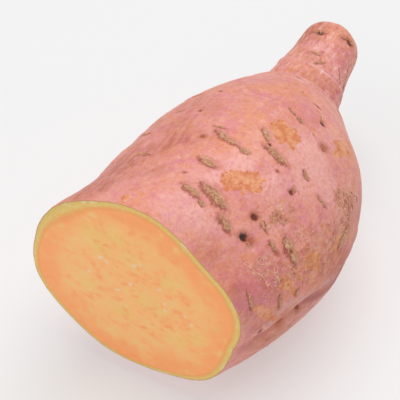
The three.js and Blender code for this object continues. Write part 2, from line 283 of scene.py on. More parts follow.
# Dusky: a brownish film in the broad dip of the top; on the lower near side, painted shade.
DUSKY_FILM_AND_SHADE = (
    (66, 72, 10, 0.25), (50, 62, 8, 0.25), (80, 80, 8, 0.2), (113, 92, 3, 0.5), (126, 70, 4, 0.4),
    (3.5, 159, 5, 0.5), (37, 160, 6, 0.6), (99, 104, 6, 0.5), (101, 120, 5, 0.4),
    (128, 50, 5, 0.5), (3, 56, 5, 0.8), (6.2, 59, 5, 0.8), (11.6, 57, 6, 0.8), (19, 53, 6, 0.8),
    (24, 50, 6, 0.7), (47.6, 70, 5, 0.6), (44, 80, 4, 0.5), (37, 68, 5, 0.6), (128.7, 52, 5, 0.9),
    (132, 62, 4, 0.9), (123, 54, 5, 0.6), (2.4, 130, 3, 0.6), (31.3, 168, 4, 0.5),
    (35.5, 170, 4, 0.5), (44.8, 163, 4, 0.6), (49.8, 160, 4, 0.4), (14.3, 199, 6, 0.5),
    (5, 178, 4, 0.8), (3, 168, 3, 0.6), (12, 176, 4, 0.6), (2, 150, 3, 0.6), (2, 136, 3, 0.5),
    (22, 186, 5, 0.7), (32, 180, 5, 0.7), (14, 160, 4, 0.5), (8, 198, 6, 0.8), (16, 210, 7, 0.6),
    (52, 180, 6, 0.7), (62, 176, 6, 0.6), (44, 186, 6, 0.7), (70, 168, 5, 0.4), (5, 124, 2.5, 0.4),
    (7, 134, 2.5, 0.5), (36, 176, 4, 0.6), (22, 30, 8, 0.6), (47, 36, 8, 0.6), (64, 44, 7, 0.5),
    (36.5, 64, 5, 0.6), (32, 78, 4, 0.9), (28, 70, 5, 0.9), (25.7, 64, 4, 0.7), (19, 60, 5, 0.6),
    (16, 78, 4, 0.8), (10, 64, 4, 0.7), (5, 66, 3.5, 0.6), (33, 87, 3, 0.6), (40, 50, 5, 0.5),
    (52, 62, 5, 0.35), (10, 40, 7, 0.45), (30, 45, 7, 0.4), (31.7, 165, 5, 0.7), (26, 172, 5, 0.6),
    (42, 172, 6, 0.6), (20, 196, 6, 0.5), (35, 200, 8, 0.5), (48, 157, 4, 0.5), (56, 170, 7, 0.4),
    (112, 66, 5, 0.3), (116, 166, 3.5, 0.8), (110, 174, 4, 0.6), (40, 300, 9, 0.5),
    (20, 280, 9, 0.6), (60, 240, 8, 0.5), (70, 350, 7, 0.4), (45, 20, 8, 0.4), (24, 330, 7, 0.4),
)
# Rosy: the skin is a deeper magenta pink.
ROSY = (
    (31, 120, 4, 0.3), (35, 124, 5, 0.3), (121, 110, 6, 0.5), (119, 128, 5, 1.1),
    (121, 145, 4, 1.1), (110, 146, 5, 0.8), (103, 150, 5, 0.8), (103, 133, 3, 0.4),
    (20, 118.7, 4, 0.4), (24, 121, 4, 0.4), (29.3, 125.5, 4, 0.5), (54.4, 142, 5, 0.5),
    (53.4, 135, 5, 0.4), (1.4, 160, 4, 0.8), (4.2, 160, 4, 0.4), (3.4, 141, 4, 0.5),
    (3.8, 148, 4, 0.4), (60, 100, 6, 0.3), (9, 150, 5, 0.9), (11, 158, 5, 0.9), (6, 162, 4, 0.8),
    (15, 150, 4, 0.5), (70, 110, 5, 0.5), (60, 112, 4, 0.6), (101, 152, 4, 1), (104, 163, 4, 0.8),
    (119, 125, 6, 0.5), (125, 150, 5, 0.8), (121, 78, 4, 0.5), (27, 141, 4, 0.4),
    (44, 143, 5, 0.4), (65, 116, 3, 0.6), (30, 255, 10, 0.7), (62, 310, 10, 0.7),
    (14, 350, 8, 0.6), (70, 200, 8, 0.6), (90, 20, 7, 0.5), (100, 300, 8, 0.6), (50, 40, 7, 0.4),
    (8, 215, 7, 0.6),
)
# Pale: a lighter pink bloom.
PALE = (
    (42, 103, 5, 0.7), (37, 108, 3, 0.5), (26, 122, 4, 0.8), (31, 106, 3, 0.6), (118, 108, 5, 0.6),
    (30, 121, 4, 0.5), (22, 139, 4, 0.4), (44, 133, 4, 0.3), (120, 92, 5, 0.4),
    (30.6, 120.5, 3, 0.7), (43, 141, 5, 0.8), (47, 146, 4, 0.4), (49, 128, 5, 0.6),
    (46, 134, 6, 0.7), (54, 128, 5, 0.5), (60, 132, 5, 0.4), (38, 126, 4, 0.5), (109, 84, 3, 0.5),
    (114, 130, 3, 0.6), (68, 133, 4, 0.7), (77.9, 139, 4, 0.6), (14.3, 101, 3, 0.5),
    (18.9, 102, 3, 0.5), (56.8, 150, 4, 0.4), (39.2, 57, 2, 0.8), (14.5, 54.8, 1.5, 0.8),
    (33, 128, 4, 0.4), (29, 104, 4, 0.9), (27, 108, 4, 0.7), (20, 101, 4, 0.8), (9, 118, 5, 0.9),
    (6, 110, 4, 0.8), (8, 101, 4, 0.7), (42, 120, 5, 0.5), (52, 122, 4, 0.7), (46, 124, 5, 0.6),
    (36, 132, 4, 0.5), (66, 130, 4, 0.5), (75, 118, 5, 0.5), (90, 100, 4, 0.7), (91, 130, 4, 0.7),
    (119, 100, 4, 0.6), (94, 60, 4, 0.5), (84, 72, 5, 0.4), (20, 190, 2.5, 0.5),
    (28, 191, 2.5, 0.5), (45, 345, 8, 0.5), (70, 250, 8, 0.5), (20, 260, 7, 0.5),
    (84, 220, 6, 0.5), (86, 330, 6, 0.5), (50, 285, 7, 0.5),
)
# Warm: the pink turns to a salmon orange.
WARM = (
    (45, 104, 6, 0.5), (38, 100, 5, 0.5), (32, 106, 7, 0.5), (40, 96, 7, 0.5), (31, 98, 5, 0.6),
    (24, 178, 6, 0.8), (10, 172, 5, 0.5), (42, 168, 5, 0.5), (17.9, 163, 4, 0.7),
    (15.7, 166.5, 4, 0.7), (71.3, 145, 3, 0.8), (68, 88, 6, 0.6), (60, 84, 5, 0.5),
    (78, 104, 6, 0.6), (72, 96, 5, 0.5), (54, 98, 5, 0.4), (46, 92, 5, 0.5), (103, 100, 4, 0.8),
    (103, 130, 4, 0.8), (102, 70, 4, 0.6), (127, 108, 5, 0.9), (132, 105, 5, 0.9),
    (136, 130, 5, 0.8), (30, 150, 5, 0.5), (22, 158, 5, 0.7), (14, 160, 4, 0.5), (60, 140, 6, 0.6),
    (26, 82, 5, 0.5), (14, 88, 4, 0.5), (5, 92, 4, 0.7), (70, 130, 6, 0.5), (40, 330, 10, 0.6),
    (20, 10, 9, 0.6), (60, 225, 9, 0.6), (80, 280, 8, 0.6), (34, 215, 8, 0.5),
)
# The greyish lilac highlight painted on the ridge above the near furrow, and the red brown
# shade painted in the fold under it: middle line and half width.
LILAC_HIGHLIGHT_LINE = (
    ((40, 187.2), (34.3, 185.2), (30.7, 183), (22.7, 176.8), (17.9, 173.8), (14.7, 173.5),
     (11.8, 175), (8.8, 179.5), (5, 185.8)), 0.8,
)
FOLD_SHADE_LINE = (
    ((56, 188), (40, 190.5), (34, 190), (28.9, 188), (22, 183), (16, 183), (11.5, 187),
     (7, 193)), 1.5,
)
# The directions in which rubbed blocks lie, as shares of along and aside.
BLOCK_RIGHT, BLOCK_LEFT = (0.62, 0.78), (-0.69, 0.72)
FAR_OFF = 4.0
PATCH_LIMIT, BLOCK_LIMIT = 1.3, 1.2
LINE_FULL_TO, LINE_FADE = 0.8, 0.2
ROUGHENING, FINER_BY = 1.0, 2.1


def stroke_place(path, along, around, radius):
    """How far along a path each place lies, from -1 to 1 at its ends, how far aside in mm,
    half the path's length in mm, and how far to its left side in mm."""
    nearest = np.full(along.shape, np.inf)
    position, side, reached = (np.zeros(along.shape) for _ in range(3))
    last = len(path) - 2
    for i, ((start_along, start_around), (end_along, end_around)) in enumerate(zip(path, path[1:])):
        leg_along = end_along - start_along
        leg_around = radius * math.radians(end_around - start_around)
        off_along = along - start_along
        off_around = mm_aside(start_around, around, radius)
        length = np.hypot(leg_along, leg_around)
        low, high = (-np.inf if i == 0 else 0), (np.inf if i == last else 1)
        t = np.clip((off_along * leg_along + off_around * leg_around) / length ** 2, low, high)
        gap = np.hypot(off_along - t * leg_along, off_around - t * leg_around)
        turned = (leg_along * off_around - leg_around * off_along) / length
        closer = gap < nearest
        side = np.where(closer, turned, side)
        nearest = np.where(closer, gap, nearest)
        position = np.where(closer, reached + t * length, position)
        reached = reached + length
    half = reached / 2
    return position / half - 1, nearest, half, side


def patch_field(patches):
    field = np.zeros(along.shape)
    for place, angle, reach, strength in patches:
        aside = mm_aside(angle, around, radius)
        field += strength * bell(np.hypot(along - place, aside), reach)
    return np.minimum(field, PATCH_LIMIT)


def block_field(blocks):
    """Blocks whose sides run slantwise over the skin, to the right and to the left."""
    field = np.zeros(along.shape)
    for place, angle, half_right, half_left, strength in blocks:
        off_along, aside = along - place, mm_aside(angle, around, radius)
        right = BLOCK_RIGHT[0] * off_along + BLOCK_RIGHT[1] * aside
        left = BLOCK_LEFT[0] * off_along + BLOCK_LEFT[1] * aside
        field += strength * np.exp(-(right / half_right) ** 4 - (left / half_left) ** 4)
    return np.minimum(field, BLOCK_LIMIT)


def line_field(line):
    path, half_width = line
    position, aside, _, _ = stroke_place(path, along, around, radius)
    past = np.maximum(np.abs(position) - LINE_FULL_TO, 0)
    return bell(aside, half_width) * bell(past, LINE_FADE)


def lumps(points, size, octaves=2):
    """Fractal noise from about -1 to 1 at points in mm, with lumps of this size."""
    rows = (points / size).reshape(-1, 3)
    heights = [noise.fractal(row, ROUGHENING, FINER_BY, octaves) for row in rows]
    return np.array(heights).reshape(points.shape[:-1])


# The mesh: points round, and stretches of rings along (start, end, count).
POINTS_ROUND = 300
STRETCHES = ((0, 66, 132), (66, 104, 80), (104, NOSE_START, 42))
NOSE_RINGS = 18
ring_places = [np.linspace(start, end, count, endpoint=False) for start, end, count in STRETCHES]
nose_turns = np.linspace(0, math.pi / 2, NOSE_RINGS, endpoint=False)
ring_places.append(NOSE_START + NOSE_LENGTH * np.sin(nose_turns))
ring_places = np.concatenate(ring_places)
turns = np.linspace(0, 2 * math.pi, POINTS_ROUND, endpoint=False)
along, around = np.meshgrid(ring_places, turns, indexing="ij")
radius = smooth_at(SECTIONS, 3, along)
grown = grown_relief(along, around, radius)
plain = body_point(along, around, grown)

# Where the middle of the cut face lies: the root rests on its pressed belly.
low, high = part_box("sweet_potato")
CUT_MIDDLE = np.array([
    low.x / MM,
    (low.y + high.y) / 2 / MM - (plain[..., 1].min() + plain[..., 1].max()) / 2,
    -(plain[..., 2].min() + FLAT_DEPTH),
])

# Slits: the nearest one's field is 0 in its middle and 1 at its edge. A slit's lip is a
# shallow groove round it, and its cork is a low rough bulge.
SLIT_WIDENING, SLIT_RAGGEDNESS, RAGGED_SIZE, SIDE_LIMIT = 1.15, 0.55, 2.2, 2
SLIT_RISE, SLIT_REACH, CORK_SIZE, CORK_RISE = 0.7, 1.1, 0.9, 0.16
LIP_GROOVE, LIP_AT, LIP_WIDTH = 0.1, 1.25, 0.3
slit_field, pit_field = np.full(along.shape, FAR_OFF), np.full(along.shape, FAR_OFF)
slit_tone, slit_side, slit_height, pit_tone, pit_height = (np.zeros(along.shape) for _ in range(5))
cork = lumps(plain, CORK_SIZE)
ragged_edge = lumps(plain, RAGGED_SIZE, 3)
for path, half_width, height, tone in SLITS:
    position, aside, half, side = stroke_place(path, along, around, radius)
    half_width *= SLIT_WIDENING
    across = aside / half_width / (1 + SLIT_RAGGEDNESS * ragged_edge)
    field = np.sqrt(np.abs(position) ** 3 + across ** 2)
    beyond = np.abs(position) * half > half + FAR_OFF
    field = np.where(beyond, FAR_OFF, np.minimum(field, FAR_OFF))
    closer = field < slit_field
    slit_field = np.where(closer, field, slit_field)
    slit_tone = np.where(closer, tone, slit_tone)
    # Which side of the slit a place lies on, for painted shade on one side of its lip and a painted
    # highlight on the other.
    widths_aside = np.clip(side / half_width, -SIDE_LIMIT, SIDE_LIMIT)
    slit_side = np.where(closer, widths_aside, slit_side)
    slit_height += SLIT_RISE * height * bell(field, SLIT_REACH)
    slit_height -= LIP_GROOVE * bell(field - LIP_AT, LIP_WIDTH)
slit_height += CORK_RISE * cork * bell(slit_field, 1)

# Pits: a hollow with a low swollen rim.
PIT_RIM, PIT_RIM_AT, PIT_RIM_WIDTH, PIT_REACH = 0.14, 1.7, 0.5, 1.15
for place, angle, half_along, half_around, depth, tone in PITS:
    aside = mm_aside(angle, around, radius)
    field = np.hypot((along - place) / half_along, aside / half_around)
    closer = field < pit_field
    pit_field = np.where(closer, field, pit_field)
    pit_tone = np.where(closer, tone, pit_tone)
    swollen = PIT_RIM * bell(field - PIT_RIM_AT, PIT_RIM_WIDTH)
    pit_height += depth * (swollen - bell(field, PIT_REACH))

rubbed = block_field(RUBBED)
crusted, crackled, dusky_film_and_shade, rosy, pale, warm = (
    patch_field(patches) for patches in (CRUSTED, CRACKLED, DUSKY_FILM_AND_SHADE, ROSY, PALE, WARM)
)
lilac_highlight, fold_shade = line_field(LILAC_HIGHLIGHT_LINE), line_field(FOLD_SHADE_LINE)

# The collar's crease and the neck's wrinkles wander, are sharper on the near side, and
# break off in places. Low lumps and fine wrinkles across the root cover the whole skin.
WANDER_SIZE, WANDER, RAGGED_WANDER = 11, 0.8, 0.25
SHARP_SIDE, ALL_ROUND_SHARE, NEAR_SHARE = math.radians(135), 0.55, 0.45
BREAK_SIZE, USUAL, BREAKING, FAINTEST, STRONGEST = 8, 0.85, 0.9, 0.2, 1.15
LUMPS = ((13, 0.16), (4.5, 0.12))
WRINKLE_SIZE, WRINKLE_HEIGHT, WRINKLE_STRETCH = 1.7, 0.09, np.array([1, 0.16, 0.16])
RUB_DEPTH, CRUST_RISE, CRUST_BASE = 0.12, 0.12, 0.8
ring_wander = WANDER * lumps(plain, WANDER_SIZE) + RAGGED_WANDER * ragged_edge
fine_rings = ring_height(FINE_RINGS, along + ring_wander, around)
fine_rings *= ALL_ROUND_SHARE + NEAR_SHARE * np.cos(around - SHARP_SIDE)
fine_rings *= np.clip(USUAL + BREAKING * lumps(plain, BREAK_SIZE), FAINTEST, STRONGEST)
lump_height = sum(height * lumps(plain, size) for size, height in LUMPS)
lump_height = lump_height + WRINKLE_HEIGHT * lumps(plain * WRINKLE_STRETCH, WRINKLE_SIZE)
fine_relief = (
    lump_height + fine_rings + slit_height + pit_height
    - RUB_DEPTH * rubbed + CRUST_RISE * crusted * (CRUST_BASE + cork)
)
skin_points = body_point(along, around, grown + fine_relief) + CUT_MIDDLE
tip_point = body_point(np.array(LENGTH), np.array(0.0), np.array(0.0)) + CUT_MIDDLE

# The cut face: an ochre ring lies under the skin, thickest at its far upper corner. The
# knife left the rim a little proud of the middle.
CUT_STEPS = (0.25, 0.7, 1.3, 2, 2.8, 3.8, 5, 6.4, 8, 9.6, 11.2, 12.8, 14.4, 16, 17.6, 19.2,
             20.8, 22.4, 24, 25.6, 27.2, 28.8, 30.4, 31.6)
RING_THICKNESS = ((-45, 1), (0, 1.2), (25, 1.8), (48, 3.1), (70, 2), (90, 1.7), (135, 1.7),
                  (180, 1.6), (225, 1.3), (270, 0.9), (315, 1), (360, 1.2), (385, 1.8))
MIDDLE_RING_THICKNESS = 2
CUT_SINK, RIM_WIDTH = 0.16, 2.2
rim = skin_points[0]
rim_radius = np.hypot(rim[:, 1] - CUT_MIDDLE[1], rim[:, 2] - CUT_MIDDLE[2])
cut_rings, cut_inward = [], []
for inward in CUT_STEPS:
    share = 1 - np.minimum(inward / rim_radius, 1)
    points = CUT_MIDDLE + (rim - CUT_MIDDLE) * share[:, None]
    points[:, 0] = CUT_MIDDLE[0] + CUT_SINK * (1 - bell(inward, RIM_WIDTH))
    cut_rings.append(points)
    cut_inward.append(np.full(POINTS_ROUND, inward))
cut_centre = CUT_MIDDLE + np.array([CUT_SINK, 0, 0])

# All points, then the faces: skin, blunt tip, cut face and its middle.
ring_count, cut_count = len(ring_places), len(CUT_STEPS)
points = np.concatenate([skin_points.reshape(-1, 3), tip_point[None], *cut_rings, cut_centre[None]])
tip = ring_count * POINTS_ROUND
first_cut = tip + 1
middle = first_cut + cut_count * POINTS_ROUND
points = np.clip(points, np.array(low) / MM, np.array(high) / MM)


def ring_points(ring):
    """The numbers of a ring's points: skin rings from 0, and cut rings from -1 inwards."""
    first = ring * POINTS_ROUND if ring >= 0 else first_cut + (-ring - 1) * POINTS_ROUND
    return [first + i for i in range(POINTS_ROUND)]


SKIN, FLESH = 0, 1
faces, face_finish = [], []
pairs = [(ring + 1, ring, SKIN) for ring in range(ring_count - 1)] + [(0, -1, FLESH)]
pairs += [(-ring, -ring - 1, FLESH) for ring in range(1, cut_count)]
last_skin, last_cut = ring_points(ring_count - 1), ring_points(-cut_count)
next_round = [(i, (i + 1) % POINTS_ROUND) for i in range(POINTS_ROUND)]
for outer, inner, finish in pairs:
    a, b = ring_points(outer), ring_points(inner)
    faces += [(a[i], b[i], b[j], a[j]) for i, j in next_round]
    face_finish += [finish] * POINTS_ROUND
for i, j in next_round:
    faces += [(last_skin[i], last_skin[j], tip), (last_cut[j], last_cut[i], middle)]
    face_finish += [SKIN, FLESH]

SHARP_EDGE = math.radians(50)
body_mesh = bpy.data.meshes.new("sweet_potato_body")
body_mesh.from_pydata((points * MM).tolist(), [], faces)
body_mesh.validate()
body_mesh.polygons.foreach_set("material_index", face_finish)
body_mesh.polygons.foreach_set("use_smooth", [True] * len(body_mesh.polygons))
body_mesh.set_sharp_from_angle(angle=SHARP_EDGE)


def keep_field(name, skin_values, cut_values=0.0):
    """Keeps one number or vector for each point: on the skin, and on the cut face."""
    skin_values = np.asarray(skin_values, float)
    size = skin_values.shape[2] if skin_values.ndim == 3 else 1
    rows = np.zeros((len(points), size))
    rows[:tip] = skin_values.reshape(tip, size)
    rows[tip] = rows[tip - 1]
    rows[first_cut:] = np.asarray(cut_values, float).reshape(-1, size)
    kind, slot = ("FLOAT", "value") if size == 1 else ("FLOAT_VECTOR", "vector")
    body_mesh.attributes.new(name, kind, "POINT").data.foreach_set(slot, rows.ravel())


# The marks go with the mesh as fields, and so do the neck, which starts past the collar,
# and the way in from the cut's edge, in mm and in thicknesses of the ochre ring.
NECK_FROM, NECK_FADE = 94, 8
nowhere = np.array([FAR_OFF, 0, 0] * (len(points) - first_cut))
none = np.zeros(3 * (len(points) - first_cut))
for name, fields, on_cut in (
    ("slit", (slit_field, slit_tone, slit_side), nowhere),
    ("pit", (np.minimum(pit_field, FAR_OFF), pit_tone, crackled), nowhere),
    ("worn", (rubbed, crusted, fine_rings), none),
    ("tint", (dusky_film_and_shade, rosy, pale), none),
    ("warmth_and_painted_light", (warm, lilac_highlight, fold_shade), none),
):
    keep_field(name, np.stack(fields, -1), on_cut)
keep_field("neck", np.clip((along - NECK_FROM) / NECK_FADE, 0, 1))
inward_all = np.concatenate([*cut_inward, [rim_radius.mean()]])
ring_thickness = smooth_at(RING_THICKNESS, 1, np.degrees(turns))
thickness_all = np.concatenate([np.tile(ring_thickness, cut_count), [MIDDLE_RING_THICKNESS]])
keep_field("inward", np.zeros(along.shape), inward_all)
keep_field("ring", np.zeros(along.shape), inward_all / thickness_all)


def paint(red, green, blue):
    """A colour as seen, from 0 to 255, as the shader's linear colour."""
    seen = (channel / 255 for channel in (red, green, blue))
    return (*(s / 12.92 if s <= 0.04045 else ((s + 0.055) / 1.055) ** 2.4 for s in seen), 1)


class Board:
    """One node tree on the bench: puts nodes in and joins their sockets."""

    def __init__(self, tree):
        self.tree = tree

    def join(self, value, socket):
        """Joins another socket to this one, or sets it to a plain value."""
        if isinstance(value, bpy.types.NodeSocket):
            self.tree.links.new(value, socket)
        else:
            socket.default_value = value

    def put(self, kind, inputs=None, **settings):
        made = self.tree.nodes.new(kind)
        for name, value in settings.items():
            setattr(made, name, value)
        for name, value in (inputs or {}).items():
            self.join(value, made.inputs[name])
        return made.outputs

    def math(self, operation, *values):
        return self.put("ShaderNodeMath", dict(enumerate(values)), operation=operation)[0]

    def times(self, first, *others):
        for other in others:
            first = self.math("MULTIPLY", first, other)
        return first

    def most(self, first, *others):
        for other in others:
            first = self.math("MAXIMUM", first, other)
        return first

    def swing(self, value, amount, base=0.0):
        """Adds to a base how far a cloud, which swings about a half, is from its middle."""
        return self.math("MULTIPLY_ADD", self.math("SUBTRACT", value, 0.5), amount, base)

    def step(self, value, start, end, least=0.0, most=1.0):
        """Turns smoothly from least to most as value goes from start to end."""
        ends = {0: value, 1: start, 2: end, 3: least, 4: most}
        return self.put("ShaderNodeMapRange", ends, interpolation_type="SMOOTHSTEP")[0]

    def vector(self, operation, first, second):
        return self.put("ShaderNodeVectorMath", {0: first, 1: second}, operation=operation)[0]

    def mix(self, share, first, second):
        return self.put("ShaderNodeMix", {0: share, 6: first, 7: second}, data_type="RGBA")[2]

    def layers(self, colour, rows):
        """Lays tints over a colour. A row is what steers the tint, where it starts and is
        full, its least and most share, its colour, and any masks that it keeps to."""
        for steer, start, end, least, most, tint, *masks in rows:
            share = self.times(self.step(steer, start, end, least, most), *masks)
            colour = self.mix(share, colour, paint(*tint))
        return colour

    def heights(self, rows):
        """The sum of relief values, each with its share."""
        total = 0.0
        for value, share in rows:
            total = self.math("MULTIPLY_ADD", value, share, total)
        return total

    def shaken(self, place, scale, detail, amount, middle=0.0):
        """A place pushed about by noise, so that cells and lines there run unevenly."""
        push = self.put("ShaderNodeTexNoise", {"Vector": place, "Scale": scale, "Detail": detail})
        push = self.vector("SUBTRACT", push["Color"], (middle,) * 3)
        return self.vector("ADD", place, self.vector("MULTIPLY", push, (amount,) * 3))

    def cloud(self, place, patch, contrast=1.0, stretch=(1, 1, 1), fineness=0.5, shift=None):
        """Uneven growth at a place, shifted if it mustn't fall together with another."""
        return self.put("ShaderNodeGroup", {
            "Place": self.vector("ADD", place, shift) if shift else place, "Patch mm": patch,
            "Contrast": contrast, "Stretch": stretch, "Fineness": fineness,
        }, node_tree=growth)["Cloud"]

    def crumbs(self, place, size):
        return self.put("ShaderNodeGroup", {"Place": place, "Grain mm": size}, node_tree=crumbs)

    def number(self, name):
        """One of the mesh's own fields, as a number."""
        return self.put("ShaderNodeAttribute", attribute_name=name)["Fac"]

    def three(self, name):
        """One of the mesh's own vector fields, split in three."""
        read = self.put("ShaderNodeAttribute", attribute_name=name)["Vector"]
        return self.put("ShaderNodeSeparateXYZ", {0: read})

    def place(self):
        return self.put("ShaderNodeTexCoord")["Object"]


def new_tree(name, family, inputs, outputs):
    """An empty tree with named inputs and outputs, its board, and their inner sockets."""
    tree = bpy.data.node_groups.new(name, family + "NodeTree")
    for way, sockets in (("INPUT", inputs), ("OUTPUT", outputs)):
        for label, kind in sockets.items():
            tree.interface.new_socket(label, in_out=way, socket_type="NodeSocket" + kind)
    board = Board(tree)
    return tree, board, board.put("NodeGroupInput"), tree.nodes.new("NodeGroupOutput").inputs


# Growth: soft cloudy unevenness with patches of a given size in mm, stretched if wanted.
growth, board, given, result = new_tree("uneven growth", "Shader", {
    "Place": "Vector", "Patch mm": "Float", "Stretch": "Vector", "Contrast": "Float",
    "Fineness": "Float",
}, {"Cloud": "Float"})
cloud = board.put("ShaderNodeTexNoise", {
    "Vector": board.vector("MULTIPLY", given["Place"], given["Stretch"]), "Detail": 4.0,
    "Scale": board.math("DIVIDE", 1 / MM, given["Patch mm"]), "Roughness": given["Fineness"],
})[0]
board.join(board.swing(cloud, given["Contrast"], 0.5), result["Cloud"])

# Crumbs: small rough grains, as of cork, crust or cut fibre.
crumbs, board, given, result = new_tree(
    "crumbs", "Shader", {"Place": "Vector", "Grain mm": "Float"},
    {"Grain": "Float", "Gap": "Float", "Shade": "Float"},
)
scale = board.math("DIVIDE", 1 / MM, given["Grain mm"])
cells, edges = (
    board.put("ShaderNodeTexVoronoi", {"Vector": given["Place"], "Scale": scale}, feature=feature)
    for feature in ("F1", "DISTANCE_TO_EDGE")
)
board.join(board.step(cells["Distance"], 0.0, 0.8, 1.0, 0.0), result["Grain"])
board.join(board.step(edges["Distance"], 0.0, 0.16, 1.0, 0.0), result["Gap"])
board.join(board.put("ShaderNodeSeparateXYZ", {0: cells["Color"]})[0], result["Shade"])


def new_finish(name, roughness, shine, under_skin=0.0, reach=None):
    """An empty material with its surface shader, and what is the same all over it."""
    made = bpy.data.materials.new(name)
    made.use_nodes = True
    sockets = made.node_tree.nodes["Principled BSDF"].inputs
    sockets["Roughness"].default_value = roughness
    sockets["Specular IOR Level"].default_value = shine
    if reach:
        sockets["Subsurface Weight"].default_value = under_skin
        sockets["Subsurface Radius"].default_value = reach
    return made, Board(made.node_tree), sockets


def raise_up(board, sockets, height, distance, strength):
    bump = {"Height": height, "Distance": distance, "Strength": strength}
    board.join(board.put("ShaderNodeBump", bump)[0], sockets["Normal"])


def rough_grey(level):
    return (level, level, level, 1)


# The skin: thin, matt and waxy, pink with salmon clouds, fine wrinkles across the root,
# brown flecks, a dusky film (partly painted shade), and the scars, pits and rubbed patches
# kept as fields above.
LENGTHWISE = (0.35, 1, 1)
BROWN_PINK, LIGHT_PINK = (212, 122, 92), (248, 182, 164)
skin_finish, board, sockets = new_finish(
    "sweet_potato_skin", roughness=0.56, shine=0.35, under_skin=0.05,
    reach=(0.0016, 0.0007, 0.0004),
)
place = board.place()
broad = board.cloud(place, 13, 2.2, fineness=0.55)
rosy_cloud = board.cloud(place, 6, 2.6, (1, 0.7, 0.7), 0.6, (0.3, 0, 0))
middling = board.cloud(place, 3.4, 2.4, fineness=0.6)
blotches = board.cloud(place, 2.1, 2.6, fineness=0.7, shift=(0, 0, 0.3))
fine = board.cloud(place, 1.1, 2.4, fineness=0.7)
streaks = board.cloud(place, 1.6, 2.4, LENGTHWISE, 0.7)
ragged = board.cloud(place, 1.8, 2.2, fineness=0.75, shift=(0, 0.3, 0))
speckle = board.cloud(place, 0.45, 2.4, fineness=0.6)
uneven = board.cloud(place, 0.8, 2.4, fineness=0.8)
ridges = board.cloud(place, 0.42, 3.2, (1, 0.35, 0.35), 0.7)
wavering = board.shaken(place, 700.0, 2.0, 0.0011)
grain, crackle = board.crumbs(wavering, 0.5), board.crumbs(wavering, 1.5)
fleck = board.crumbs(board.vector("MULTIPLY", place, (1, 0.55, 0.55)), 2.1)["Grain"]
rub_field, crust_field, ring_field = board.three("worn")
dusk_and_shade_field, rose_field, pale_field = board.three("tint")
slit, tone, side = board.three("slit")
pit, pit_depth, crackle_field = board.three("pit")
warm_field, lilac_highlight_field, fold_shade_field = board.three("warmth_and_painted_light")
neck = board.number("neck")

# Clouds, blooms and small flecks, browner or paler than the skin between them. The neck is
# streaked lengthwise and mottled more strongly. Crackled skin is brown and orange.
warmth = board.math("MULTIPLY_ADD", warm_field, 0.4, broad)
net_field = board.times(crackle_field, board.step(ragged, 0.25, 0.7, 0.1, 1.2))
colour = board.layers(paint(236, 160, 150), (
    (warmth, 0.25, 0.95, 0, 1, (238, 158, 120)),
    (rosy_cloud, 0.45, 1, 0, 0.85, (226, 136, 146)),
    (middling, 0.5, 1.15, 0, 0.8, (222, 122, 112)),
    (middling, 0.45, 0, 0, 0.8, LIGHT_PINK),
    (blotches, 0.52, 1, 0, 0.9, (232, 144, 98)),
    (blotches, 0.45, 0, 0, 0.85, (230, 136, 152)),
    (ragged, 0.1, 0.9, 0.165, 0.55, (212, 104, 130), rose_field),
    (fine, 0.1, 0.9, 0.6, 0.21, (252, 192, 184), pale_field),
    (fine, 0.58, 1.1, 0, 0.45, BROWN_PINK),
    (fine, 0.42, 0, 0, 0.55, LIGHT_PINK),
    (streaks, 0.6, 1.2, 0, 0.35, BROWN_PINK),
    (speckle, 0.56, 1, 0, 0.18, (226, 134, 88)),
    (speckle, 0.44, 0, 0, 0.4, (248, 180, 184)),
    (board.times(fleck, board.step(blotches, 0.5, 0.95)), 0.4, 0.95, 0, 0.12, (210, 116, 88)),
    (blotches, 0.48, 0.85, 0, 0.8, (222, 146, 110), neck),
    (streaks, 0.6, 1, 0, 0.65, (200, 94, 104), neck),
    (streaks, 0.5, 0, 0, 0.8, (252, 200, 190), neck),
    # The dusky film, which on the lower near side is painted shade.
    (streaks, 0.15, 0.85, 0.21, 0.6, (184, 102, 74), dusk_and_shade_field),
))
# Painted shade, red brown, in the fold under the near ridge, then a painted greyish lilac highlight
# along the ridge.
colour = board.mix(board.times(fold_shade_field, 0.65), colour, paint(170, 78, 72))
colour = board.layers(colour, (
    (fine, 0, 0.8, 0.8, 0.3, (212, 180, 184), lilac_highlight_field),
    (middling, 0.55, 0.95, 0, 0.6, (188, 86, 84), crackle_field),
    (blotches, 0.6, 0.95, 0, 0.6, (234, 146, 84), crackle_field),
    (fine, 0.4, 0.8, 0, 0.65, (208, 116, 82), net_field),
))
# Over the crackled skin lies a broken net of pale lines. Ring crests get a painted
# highlight, and their creases painted shade.
cracked = board.times(crackle["Gap"], board.step(net_field, 0.24, 0.56))
net_colour = board.layers(paint(212, 118, 76), (
    (crackle["Shade"], 0.3, 0.6, 0, 1, (244, 192, 152)),
))
colour = board.mix(board.times(cracked, 0.85), colour, net_colour)
broken = board.step(middling, 0.25, 0.75, 0.25, 1.0)
colour = board.layers(colour, (
    (ring_field, 0.04, 0.24, 0, 0.9, (246, 196, 186), broken),
    (ring_field, -0.05, -0.36, 0, 0.9, (150, 84, 66), broken),
))

# Rubbed patches: ragged edges, orange clouds and small redder spots.
rub_noise = board.math("ADD", board.times(ragged, 0.55), board.times(fine, 0.3))
ragged_rub = board.math("SUBTRACT", board.math("MULTIPLY_ADD", rub_field, 0.8, rub_noise), 0.42)
rub_colour = board.layers(paint(244, 172, 120), (
    (middling, 0.25, 0.8, 0, 1, (222, 126, 68)),
    (fine, 0.45, 0.9, 0, 0.85, (204, 112, 70)),
    (speckle, 0.45, 0, 0, 0.6, (246, 180, 144)),
))
colour = board.mix(board.step(ragged_rub, 0.38, 0.54, 0.0, 0.88), colour, rub_colour)

